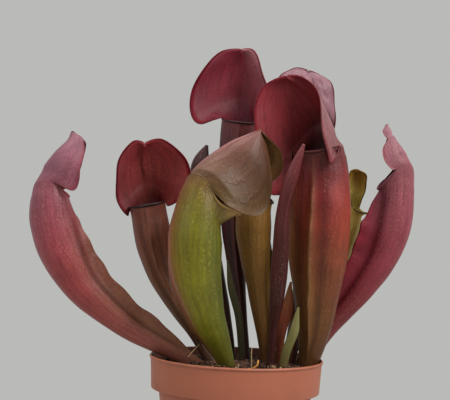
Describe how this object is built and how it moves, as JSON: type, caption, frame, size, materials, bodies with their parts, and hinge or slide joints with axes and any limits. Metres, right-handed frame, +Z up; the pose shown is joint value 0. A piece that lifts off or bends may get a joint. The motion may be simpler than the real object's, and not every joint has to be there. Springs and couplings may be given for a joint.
{
  "type": "potted pitcher plant",
  "caption": "Potted pitcher plant: upright hollow leaves with hoods rising from a creeping stem in a round plastic nursery pot of peat.",
  "frame": {"origin": "centre of the pot's base, on the surface it stands on", "axes": "+Z up along the pot's axis and the plant's height; +X to the right and -Y towards the viewer when the dark red hoods face the viewer"},
  "size_m": [0.2674, 0.12, 0.318],
  "materials": {
    "pot_plastic": "terracotta-coloured moulded plastic, satin, slightly dusty",
    "peat_soil": "damp dark peat with bark fibre, matt",
    "rhizome_skin": "brown scaly creeping stem, matt",
    "pitcher_far_left": "waxy living leaf with net veins, satin",
    "pitcher_left": "waxy living leaf with net veins, satin",
    "pitcher_front_green": "waxy living leaf with net veins, satin",
    "pitcher_olive": "waxy living leaf with net veins, satin",
    "pitcher_front_right": "waxy living leaf with net veins, satin",
    "pitcher_back_pink": "waxy living leaf with net veins, satin",
    "pitcher_tall_back": "waxy living leaf with net veins, satin",
    "pitcher_small_yellow": "waxy living leaf with net veins, satin",
    "pitcher_far_right": "waxy living leaf with net veins, satin",
    "pitcher_young_red": "waxy living leaf with net veins, satin",
    "pitcher_young_dark": "waxy living leaf with net veins, satin",
    "blade_olive": "waxy living leaf with net veins, satin",
    "blade_red_brown": "waxy living leaf with net veins, satin",
    "blade_green": "waxy living leaf with net veins, satin",
    "blade_dull_red": "waxy living leaf with net veins, satin",
    "blade_dark_green": "waxy living leaf with net veins, satin",
    "bark": "weathered bark, matt"
  },
  "bodies": {
    "root": {"pot": "pot_plastic", "soil": "peat_soil", "rhizome": "rhizome_skin", "pitcher_far_left": "pitcher_far_left", "pitcher_left": "pitcher_left", "pitcher_front_green": "pitcher_front_green", "pitcher_olive": "pitcher_olive", "pitcher_front_right": "pitcher_front_right", "pitcher_back_pink": "pitcher_back_pink", "pitcher_tall_back": "pitcher_tall_back", "pitcher_small_yellow": "pitcher_small_yellow", "pitcher_far_right": "pitcher_far_right", "pitcher_young_red": "pitcher_young_red", "pitcher_young_dark": "pitcher_young_dark", "blade_olive": "blade_olive", "blade_red_brown": "blade_red_brown", "blade_green": "blade_green", "blade_dull_red": "blade_dull_red", "blade_dark_green": "blade_dark_green", "bark_chip_left": "bark", "bark_chip_front": "bark", "bark_chip_right": "bark", "bark_chip_back": "bark"}
  },
  "joints": []
}
